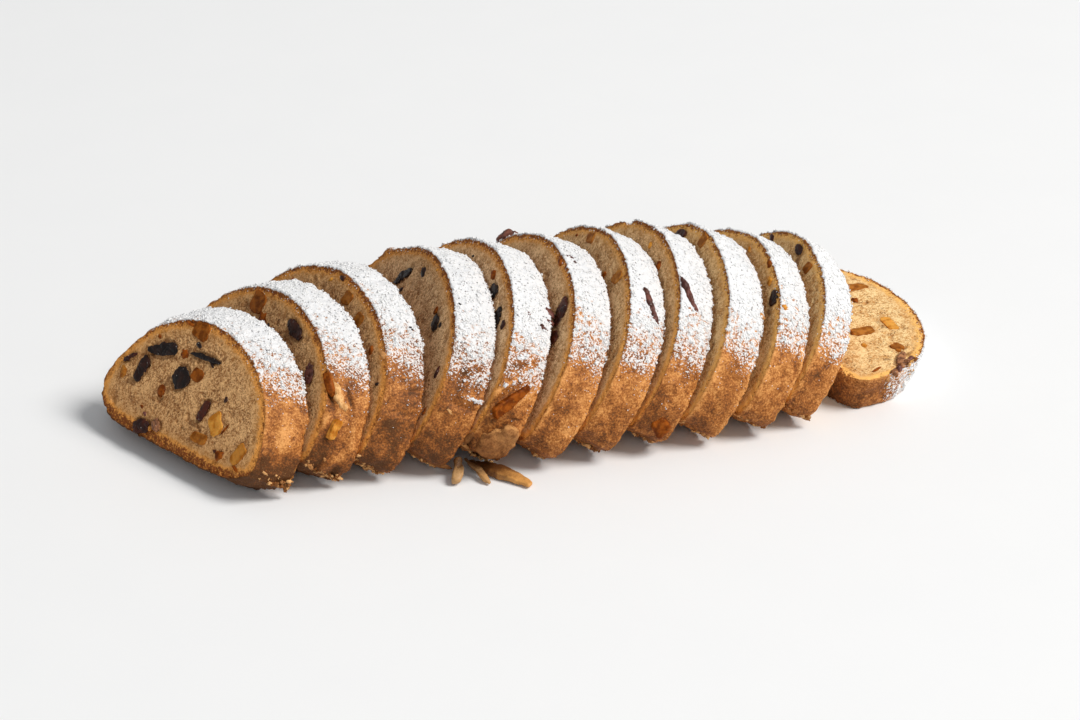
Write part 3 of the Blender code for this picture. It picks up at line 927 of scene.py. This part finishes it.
def cornered(points):
    # the round flap pulled into its corners, with a lip that curls out along its upper right
    angle = np.degrees(np.arctan2(points[:, 2], points[:, 0]))
    out = np.hypot(points[:, 0], points[:, 2])
    reach = np.percentile(out, 97)
    turns, lengths = zip(*fruit["flapOutline"])
    wide = np.interp(angle, turns, lengths, period=360) / reach
    wide = 1 + (wide - 1) * ease(out / reach, 0.1, 0.9)
    lip = ease(out / reach, 0.60, 0.95) * ease(points[:, 0] + points[:, 2], -4.0, 6.0)
    hollow = ease(out / reach, 0.7, 0.1)
    curl = fruit["flapLip"] * (lip - 0.6 * hollow) * (points[:, 1] < 0)
    shaped = points * np.stack([wide, np.ones(len(points)), wide], axis=1)
    shaped[:, 0] += fruit["flapShift"]
    shaped[:, 1] -= curl + fruit["flapTilt"] * ease(points[:, 2], -5.0, 7.0)
    return shaped


def ownAxes(points):
    # the piece's middle, its directions from the longest on, and its points along them
    middle = points.mean(axis=0)
    axes = np.linalg.svd(points - middle, full_matrices=False)[2]
    return middle, axes, (points - middle) @ axes.T


def dried(points, length, width):
    # stretched along its longest direction and drawn in across it
    middle, axes, along = ownAxes(points)
    return along * (length, width, 1.0) @ axes + middle


def straightened(points, halfWidth):
    # long sides made parallel and the ends blunt
    middle, axes, along = ownAxes(points)
    stations = np.linspace(along[:, 0].min(), along[:, 0].max(), 21)
    step = stations[1] - stations[0]
    for side in (1, 2):
        parts = [along[np.abs(along[:, 0] - station) <= step, side] for station in stations]
        centres = [(part.max() + part.min()) / 2 for part in parts]
        reaches = [(part.max() - part.min()) / 2 for part in parts]
        centre = np.interp(along[:, 0], stations, centres)
        reach = np.interp(along[:, 0], stations, reaches)
        wanted = halfWidth if side == 1 else 0.9 * max(reaches)
        wider = np.minimum(wanted / reach, fruit["mostWidening"])
        along[:, side] = centre + (along[:, side] - centre) * wider
    return along @ axes + middle


def raisinSkin(points, seed):
    bent = points + 1.1 * np.stack([waves(points, 3.1, seed + side) for side in (1, 2, 3)], axis=1)
    folds = np.clip(1 - np.abs(waves(bent, fruit["wrinkleWidth"], seed)) / 0.30, 0.0, 1.0)
    small = np.clip(1 - np.abs(waves(bent, 1.3, seed + 9)) / 0.3, 0.0, 1.0)
    shape = 0.95 * waves(points, 4.2, seed + 5)
    return shape - fruit["wrinkleDepth"] * folds ** 1.5 - 0.16 * small + 0.1


def peelSkin(points, seed):
    return layered(points, seed, fruit["peelLumps"])


def stripSkin(points, seed):
    # smoother, with shallow lines along it
    lines = waves(points * (0.35, 0.35, 1.6), 1.6, seed)
    return layered(points, seed, fruit["stripLumps"]) + 0.14 * lines


def flapSkin(points, seed):
    return layered(points, seed, fruit["flapLumps"])


def raisinLook():
    look = Look("raisinSkin")
    tone = look.shared("tone")
    broad = look.clouds(3.5, 2.0)
    fine = look.clouds(0.7, 2.0, 0.6)
    black = broad.step(0.4, 0.7).tint(rgb(0.008, 0.004, 0.003), rgb(0.026, 0.009, 0.005))
    maroon = broad.step(0.35, 0.65).tint(rgb(0.028, 0.006, 0.003), rgb(0.075, 0.014, 0.005))
    purple = broad.step(0.35, 0.65).tint(rgb(0.060, 0.018, 0.012), rgb(0.180, 0.062, 0.046))
    mottle = (broad * 0.5 + fine * 0.5).step(0.38, 0.62)
    amber = mottle.tint(rgb(0.110, 0.036, 0.012), rgb(0.480, 0.210, 0.090))
    colour = tone.step(0.1, 0.5).tint(black, maroon)
    colour = tone.step(0.5, 0.9).tint(colour, purple)
    colour = tone.step(0.95, 1.4).tint(colour, amber)
    colour = (fine.step(0.6, 0.75) * 0.20).tint(colour, rgb(0.16, 0.08, 0.05))
    grains = (1 - look.cells(2.4).step(0.06, 0.10)) * fine.step(0.40, 0.46)
    colour = (grains * 0.8).tint(colour, rgb(0.60, 0.54, 0.50))
    return look.finish(colour, 0.22 + fine * 0.34, fine * 0.5 + broad * 0.5, 0.3, 0.24)


def peelLook():
    look = Look("candiedPeel")
    tone = look.shared("tone")
    broad = look.clouds(2.8, 2.0)
    fine = look.clouds(0.6, 2.0, 0.6)
    mottle = broad.step(0.35, 0.65)
    dark = mottle.tint(rgb(0.120, 0.024, 0.002), rgb(0.30, 0.072, 0.006))
    light = mottle.tint(rgb(0.54, 0.190, 0.018), rgb(0.86, 0.400, 0.070))
    colour = tone.step(0.25, 0.95).tint(dark, light)
    colour = (fine.step(0.6, 0.7) * 0.16).tint(colour, rgb(0.6, 0.32, 0.10))
    glow = {"Subsurface Weight": 0.2, "Subsurface Radius": (0.003, 0.0012, 0.0005),
            "Subsurface Scale": 1.0}
    return look.finish(colour, 0.32 + fine * 0.25, fine * 0.4 + broad * 0.6, 0.25, 0.06, **glow)


def stripLook():
    # brown at the root, golden and glassy at the tip; the dark root is partly painted shade and
    # the golden tip partly a painted highlight
    look = Look("stripPeel")
    tone = look.shared("tone")
    broad = look.clouds(3.0, 2.0)
    fine = look.clouds(0.7, 2.0, 0.6)
    # over the strip's own brown and gold: painted shade at the root, painted highlight at the tip
    tip = look.shared("tip") + (broad - 0.5) * 0.7 + (fine - 0.5) * 0.4
    mottle = (tip * 0.5 + fine * 0.6).step(0.1, 0.9)
    tan = mottle.tint(rgb(0.12, 0.047, 0.015), rgb(0.50, 0.280, 0.115))
    amber = tip.step(0.2, 1.3).tint(rgb(0.11, 0.038, 0.010), rgb(0.74, 0.350, 0.095))
    colour = tone.step(0.0, 1.0).tint(tan, amber)
    return look.finish(colour, 0.30 + fine * 0.3, fine * 0.5 + broad * 0.5, 0.2, 0.22)


def tornLook():
    look = Look("tornCrust")
    broad = look.clouds(5.0, 2.0)
    medium = look.clouds(1.8, 3.0, 0.6)
    fine = look.clouds(0.6, 2.0, 0.6)
    tone = look.shared("tone")
    mottle = (broad * 0.35 + medium * 0.3 + fine * 0.35).step(0.38, 0.62)
    dark = mottle.tint(rgb(0.12, 0.038, 0.009), rgb(0.27, 0.100, 0.026))
    light = mottle.tint(rgb(0.34, 0.130, 0.034), rgb(0.74, 0.370, 0.130))
    colour = tone.step(0.2, 0.9).tint(dark, light)
    cream = mottle.tint(rgb(0.48, 0.215, 0.065), rgb(0.86, 0.500, 0.210))
    colour = tone.step(1.0, 1.4).tint(colour, cream)
    # painted highlight along the flap's edges that face up and to the right
    rim = look.shared("edge") * mottle.step(0.0, 0.4) * 0.5
    colour = rim.tint(colour, rgb(0.66, 0.320, 0.105))
    return look.finish(colour, 0.6 + fine * 0.3, fine * 0.5 + medium * 0.5, 0.35, 0.16)


raisinMaterial = raisinLook()
peelMaterial = peelLook()
stripMaterial = stripLook()
tornMaterial = tornLook()
for name in sorted(nodes):
    if "raisin" in name:
        dressNode(name, name + ".fruit", raisinMaterial, raisinSkin)
    elif "strip" in name:
        dressNode(name, name + ".fruit", stripMaterial, stripSkin)
    elif "peel" in name:
        dressNode(name, name + ".fruit", peelMaterial, peelSkin)
    elif "torn" in name:
        dressNode(name, name + ".flap", tornMaterial, flapSkin)
print("fruit dressed")


# Small pieces

small = {
    # slice, where on it, along, across to the front, up, turn, length, width, kind
    "placed": (
        (1, "first", 0, -3.0, 43.6, 20, 4.0, 2.2, "raisin"),
        (1, "first", 0, -12.8, 20.4, 60, 6.0, 4.8, "peelDark"),
        (1, "first", 0, -8.5, 37.8, 30, 5.4, 4.0, "peelDark"),
        (1, "first", 0, 22.2, 29.0, 80, 2.6, 1.9, "raisin"),
        (1, "first", 0, 30.2, 8.2, 160, 5.4, 4.4, "peelDark"),
        (1, "first", 0, 27.6, 8.8, 10, 2.6, 1.4, "raisin"),
        (1, "first", 0, 27.8, 18.6, 110, 6.0, 0.9, "peelDark"),
        (1, "first", 0, 40.6, 6.6, 20, 4.4, 1.5, "peelDark"),
        (1, "first", 0, -36.4, 20.0, 80, 6.4, 4.2, "peelDull"),
        (1, "first", 0, -19.0, 10.8, 30, 1.9, 1.3, "peelDark"),
        (1, "first", 0, -16.2, 8.8, 30, 2.2, 1.4, "raisinRed"),
        (1, "first", 0, -25.0, 39.4, 20, 2.4, 1.4, "peelDark"),
        (1, "first", 0, -12.5, 49.6, 5, 6.0, 1.3, "peelDark"),
        (1, "first", 0, 7.5, 39.0, 30, 4.0, 1.2, "raisin"),
        (2, "first", 0, -8.1, 43.7, 40, 7.5, 6.0, "peelDark"),
        (2, "first", 0, 2.0, 40.5, 10, 5.0, 4.0, "peelPale"),
        (2, "crust", -7.4, 47.0, 39.5, 11, 12.0, 4.4, "peelDark"),
        (2, "crust", -4.9, 49.4, 38.6, 24, 5.4, 4.2, "crustPale"),
        (2, "crust", -3.6, 52.2, 36.0, 30, 4.8, 4.4, "crustPale"),
        (2, "crust", -2.0, 54.4, 33.8, 60, 5.0, 3.6, "crustPale"),
        (2, "crust", 1.0, 60.0, 4.0, 20, 4.0, 2.0, "crust"),
        (2, "crust", -6.0, 60.0, 3.0, 70, 4.4, 2.0, "crust"),
        (2, "crust", 6.8, 60.0, 16.0, 10, 6.0, 1.6, "crustPale"),
        (2, "crust", -0.6, 60.0, 11.0, 60, 7.0, 1.4, "crust"),
        (1, "crust", 6.0, 60.0, 3.5, 40, 4.6, 2.2, "crustDark"),
        (1, "crust", 1.0, 60.0, 2.5, 10, 4.0, 1.8, "crustDark"),
        (3, "crust", 3.0, 60.0, 3.0, 30, 4.0, 1.8, "crust"),
        (4, "crust", 7.5, 62.0, 7.5, 100, 9.0, 3.6, "crustDark"),
        (4, "crust", 6.5, 62.0, 3.5, 60, 6.0, 3.0, "crust"),
        (5, "crust", -7.5, 62.0, 9.5, 70, 9.0, 3.2, "crust"),
        (5, "crust", -5.0, 62.0, 3.5, 130, 8.0, 3.6, "crustDark"),
        (5, "crust", -8.0, 62.0, 13.0, 10, 9.0, 2.6, "crustDark"),
        (5, "crust", -8.2, 62.0, 6.0, 40, 6.0, 2.6, "crustDark"),
        (4, "crust", 8.0, 62.0, 11.0, 110, 8.0, 3.6, "crustDark"),
        (4, "crust", -2.2, 65.5, 28.4, 75, 3.4, 1.7, "crustPale"),
        (3, "first", 0, -3.6, 58.9, 5, 4.0, 2.0, "raisin"),
        (3, "first", 0, 36.7, 44.0, 60, 5.0, 2.5, "peelDark"),
        (3, "crust", -6.9, 46.7, 46.3, 60, 7.0, 3.5, "crust"),
        (3, "crust", 3.2, 33.4, 59.6, 30, 2.8, 1.7, "raisin"),
        (3, "crust", 4.4, 37.0, 57.0, 30, 2.6, 1.6, "raisin"),
        (4, "first", 0, -7.7, 54.7, 40, 5.2, 3.6, "raisin"),
        (4, "first", 0, 20.1, 50.5, 60, 3.6, 2.4, "peelDark"),
        (4, "first", 0, 49.8, 36.2, 70, 5.0, 2.6, "raisin"),
        (4, "first", 0, 30.0, 48.5, 30, 2.6, 1.8, "raisin"),
        (4, "crust", -6.1, 30.2, 59.7, 30, 2.4, 1.4, "raisin"),
        (5, "first", 0, 6.5, 59.0, 20, 6.0, 3.6, "peelDark"),
        (5, "first", 0, 37.2, 50.7, 50, 4.2, 3.0, "raisin"),
        (5, "crust", 7.8, 33.8, 63.2, 60, 6.0, 4.0, "raisinRed"),
        (5, "crust", 7.4, 38.5, 60.6, 60, 5.0, 3.4, "raisinRed"),
        (5, "crust", 4.8, 42.5, 58.6, 60, 4.0, 2.8, "raisinRed"),
        (5, "crust", -2.0, 38.0, 61.0, 10, 4.4, 2.0, "raisinRed"),
        (6, "crust", -4.9, 4.7, 67.7, 60, 5.0, 3.0, "raisinRed"),
        (6, "crust", -3.4, 9.0, 67.0, 60, 3.0, 2.0, "raisinRed"),
        (6, "first", 0, 6.9, 64.6, 10, 5.0, 2.4, "peelDark"),
        (8, "first", 0, 10.4, 57.2, 30, 5.4, 3.4, "peelDark"),
        (8, "first", 0, -5.4, 59.5, 30, 3.4, 2.2, "peelPale"),
        (9, "crust", 7.7, 41.1, 55.0, 50, 3.6, 2.4, "crust"),
        (10, "first", 0, 23.4, 53.2, 30, 4.6, 3.4, "peelPale"),
        (10, "first", 0, 15.1, 57.6, 30, 4.2, 2.4, "peelDark"),
        (10, "crust", -5.0, 38.5, 47.0, 60, 3.6, 3.0, "peelPale"),
        (11, "first", 0, -27.2, 46.3, 20, 4.6, 2.6, "raisin"),
        (12, "first", 0, 52.0, 17.4, 60, 7.0, 1.5, "peelDark"),
        (12, "first", 0, 56.3, 23.4, 54, 5.0, 3.0, "raisinBrown"),
        (12, "first", 0, 54.3, 26.4, 44, 4.6, 3.2, "raisinRed"),
        (12, "first", 0, 52.2, 29.2, 60, 5.0, 3.2, "raisinBrown"),
        (12, "first", 0, 50.2, 32.0, 44, 4.4, 2.8, "raisinBrown"),
        (12, "first", 0, 48.2, 34.8, 58, 4.6, 2.4, "raisinRed"),
        (12, "first", 0, 31.1, 21.4, 10, 4.0, 2.4, "peelPale"),
        (12, "first", 0, -7.3, 35.6, 10, 5.0, 3.2, "peelDark"),
    ),
    # tone of each kind in its material; the others get a chance value up to the first number
    "chanceTone": 0.5,
    "kindTones": {
        "peelDark": 0.30, "peelDull": 0.55, "peelPale": 0.72, "crust": 0.70, "crustDark": 0.35,
        "crustPale": 1.4, "raisinRed": 0.85, "raisinBrown": 1.4,
    },
    # how many different lumps the many copies are made from
    "fruitShapes": 12,
    "grainShapes": 8,
    "crumbShapes": 10,
    "scatteredPerFace": 11,
    "crumbsAtFoot": 80,
    "crumbliest": 4,  # slices 1 to 4 get all those crumbs, the others half of them
    "grainsPerSlice": 1700,
    "clumpsPerSlice": 520,
    "dustPerSlice": 60,
    "spillPerSlice": 110,
}


def lumpShape(seed, subdivisions, rough):
    # one small rough body, a unit across
    bm = bmesh.new()
    bmesh.ops.create_icosphere(bm, subdivisions=subdivisions, radius=0.5)
    for vert in bm.verts:
        shifted = vert.co + Vector((seed * 3.1, 0, 0))
        vert.co *= 1 + rough * (noise.noise(shifted * 3.3) + 0.4 * noise.noise(shifted * 7.1))
    bmesh.ops.triangulate(bm, faces=bm.faces)
    points = np.array([vert.co[:] for vert in bm.verts])
    faces = np.array([[vert.index for vert in face.verts] for face in bm.faces])
    bm.free()
    return points, faces


def heap(name, shapes, spots, look, tones=None):
    # many copies of a few small shapes as one piece
    points, faces, tone, start = [], [], [], 0
    for index, (which, place) in enumerate(spots):
        shapePoints, shapeFaces = shapes[which]
        turned = np.array(place.to_3x3())
        points.append(shapePoints @ turned.T + np.array(place.translation))
        faces.append(shapeFaces + start)
        tone.append(np.full(len(shapePoints), tones[index] if tones else (index * 0.618) % 1))
        start += len(shapePoints)
    points = np.concatenate(points)
    points[:, 2] = np.maximum(points[:, 2], 0.0)
    mesh = bpy.data.meshes.new(name)
    mesh.from_pydata(points, [], np.concatenate(faces).tolist())
    share(mesh, "tone", np.concatenate(tone))
    mesh.shade_smooth()
    mesh.materials.append(look)
    piece = addObject(name, mesh)
    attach(piece, "root")


def onFace(number, across, up, first=True):
    # local frame of a spot in a cut face, z out of the face
    half = slices[number].half
    spot = Vector((-half if first else half, -across, up))
    out = Vector((-1.0 if first else 1.0, 0, 0))
    back = Vector((0, 1, 0))
    return framed(spot, back, back.cross(out), out)


def onCrust(number, along, across, up):
    # local frame of the nearest spot on the crust, z out of it and x along the curve
    spot, normal, _, _ = slices[number].tree.find_nearest(Vector((along, -across, up)))
    curve = normal.cross(Vector((1, 0, 0))).normalized()
    return framed(spot, curve, normal.cross(curve), normal)


def stretched(length, width, height):
    return Matrix.Diagonal((length, width, height, 1.0))


def placeSmallFruit():
    # the pieces of the list above, and more scattered over the faces by chance
    spots = {"raisin": [], "peel": [], "crust": []}
    tones = {"raisin": [], "peel": [], "crust": []}
    dice = random.Random(12)

    def put(number, spot, turn, length, width, kind):
        sunk = Matrix.Translation((0, 0, -0.12 * width))
        place = slices[number].place @ spot @ Matrix.Rotation(math.radians(turn), 4, "Z")
        tall = min(width, 3.0) * 0.75
        place = place @ sunk @ stretched(length, width, tall)
        key = next(key for key in spots if kind.startswith(key))
        spots[key].append((dice.randrange(small["fruitShapes"]), place))
        tones[key].append(small["kindTones"].get(kind, small["chanceTone"] * dice.random()))

    for number, where, along, across, up, turn, length, width, kind in small["placed"]:
        onFirst = where == "first"
        spot = onFace(number, across, up) if onFirst else onCrust(number, along, across, up)
        put(number, spot, turn, length, width, kind)
    for number, slab in slices.items():
        points, _ = readPoints(slab.piece.data)
        home = slab.place.inverted()
        local = points @ np.array(home.to_3x3()).T + np.array(home.translation)
        inside = (slab.crumb > 0.95) & (slab.depth > 3.0) & (slab.gap > 2.2)
        for first in (True, False):
            if first and number in bread["openSlices"]:
                continue  # every piece in these two faces is in the list
            side = (local[:, 0] < 0) if first else (local[:, 0] > 0)
            free = np.flatnonzero(side & inside)
            for _ in range(small["scatteredPerFace"]):
                spot = local[free[dice.randrange(len(free))]]
                length = 1.6 + 2.6 * dice.random() ** 2
                kind = dice.choice(("raisin", "peelDark", "peelDark", "peelPale"))
                turn = dice.uniform(0, 180)
                width = length * dice.uniform(0.5, 0.8)
                put(number, onFace(number, -spot[1], spot[2], first), turn, length, width, kind)
    shapes = [lumpShape(seed, 2, 0.55) for seed in range(small["fruitShapes"])]
    heap("smallRaisins", shapes, spots["raisin"], raisinMaterial, tones["raisin"])
    heap("smallPeel", shapes, spots["peel"], peelMaterial, tones["peel"])
    heap("crustFlakes", shapes, spots["crust"], tornMaterial, tones["crust"])


def sugarLook():
    look = Look("sugarGrains")
    tone = look.shared("tone")
    fine = look.clouds(0.5, 2.0, 0.6)
    colour = (tone * 0.6 + fine * 0.4).tint(rgb(0.76, 0.76, 0.77), rgb(0.90, 0.89, 0.87))
    return look.finish(colour, 0.75 + fine * 0.2, fine, 0.1, 0.3)


def sprinkleSugar(look):
    shapes = [lumpShape(seed, 1, 0.8) for seed in range(small["grainShapes"])]
    total = 0
    for number, slab in slices.items():
        dice = np.random.default_rng(100 + number)
        points, normals = readPoints(slab.piece.data)
        cover, crumb, level = slab.cover, slab.crumb, slab.level
        crust = 1 - crumb
        patchy = np.clip(0.5 + waves(points / mm, 3.4, number + 7), 0.05, 1.0)
        high = ease(level, 0.90, 0.70)
        ragged = crust * ease(cover, 0.15, 0.6) * (0.15 + 0.85 * high) * patchy
        dense = crust * ease(cover, 0.5, 0.9) * (0.35 + 0.65 * high) * patchy
        dust = crust * ease(level, 0.25, 0.6) * (cover < 0.1) * patchy ** 2
        spill = crumb * ease(slab.depth, 3.6, 1.0) * ease(level, 0.50, 0.75)
        kinds = (
            # weights, how many, smallest and largest width in mm, flatness
            (ragged, small["grainsPerSlice"], 0.3, 0.7, 0.7),
            (ragged * 0.5 + dense * 0.5, small["clumpsPerSlice"], 0.7, 1.35, 0.5),
            (dust, small["dustPerSlice"], 0.25, 0.5, 0.7),
            (spill, small["spillPerSlice"], 0.22, 0.55, 0.6),
        )
        spots = []
        for weights, count, least, most, flat in kinds:
            if weights.sum() <= 0:
                continue
            chosen = dice.choice(len(points), size=count, p=weights / weights.sum())
            for index in chosen:
                width = (least + (most - least) * dice.random() ** 2) * mm
                normal = Vector(normals[index])
                jitter = Vector(dice.uniform(-0.4, 0.4, 3)) * mm
                jitter -= normal * jitter.dot(normal)
                spot = Vector(points[index]) + jitter + normal * width * 0.12
                if spot.z < width:
                    continue
                upright = normal.to_track_quat("Z", "Y").to_matrix().to_4x4()
                place = Matrix.Translation(spot) @ upright
                place = place @ Matrix.Rotation(dice.uniform(0, 6.28), 4, "Z")
                stretch = dice.uniform(0.75, 1.3)
                place = place @ stretched(width * stretch, width / stretch, width * flat)
                spots.append((int(dice.integers(small["grainShapes"])), place))
        heap(f"sugarGrains_{number:02d}", shapes, spots, look)
        total += len(spots)
    return total


def hangCrumbs(look):
    # torn crumb and crust along the lower edges, most on the first slices
    shapes = [lumpShape(seed + 30, 2, 1.1) for seed in range(small["crumbShapes"])]
    dice = random.Random(31)
    spots = []
    for number, slab in slices.items():
        count = small["crumbsAtFoot"] // (1 if number <= small["crumbliest"] else 2)
        for _ in range(count):
            if number == bread["lyingSlice"]:
                along = dice.uniform(-1, 1) * slab.half
                up = dice.uniform(20, 50)
            else:
                along = slab.half * (1 - 2 * dice.random() ** 2)
                up = 9.0 * dice.random() ** 1.6
            across = 60.0 if dice.random() < 0.75 else -60.0  # beyond the front or back foot
            place = slab.place @ onCrust(number, along, across, up)
            place = place @ Matrix.Rotation(dice.uniform(0, 6.28), 4, "Z")
            place = place @ Matrix.Rotation(dice.uniform(-0.7, 0.7), 4, "Y")
            length = 0.8 + 2.0 * dice.random() ** 2
            place = place @ stretched(length, length * dice.uniform(0.35, 0.7), length * 0.55)
            if place.translation.z > 0.6 * length * mm:
                spots.append((dice.randrange(small["crumbShapes"]), place))
    heap("tornCrumbs", shapes, spots, look)


def tornCrumbLook():
    look = Look("tornCrumb")
    tone = look.shared("tone")
    fine = look.clouds(0.8, 2.0, 0.6)
    colour = tone.step(0.2, 0.9).tint(rgb(0.26, 0.088, 0.020), rgb(0.78, 0.43, 0.17))
    colour = (fine.step(0.55, 0.7) * 0.5).tint(colour, rgb(0.16, 0.06, 0.018))
    return look.finish(colour, 0.7 + fine * 0.2, fine, 0.3, 0.2)


placeSmallFruit()
print("small fruit placed")
hangCrumbs(tornCrumbLook())
print("torn crumbs placed")
print("sugar grains:", sprinkleSugar(sugarLook()))
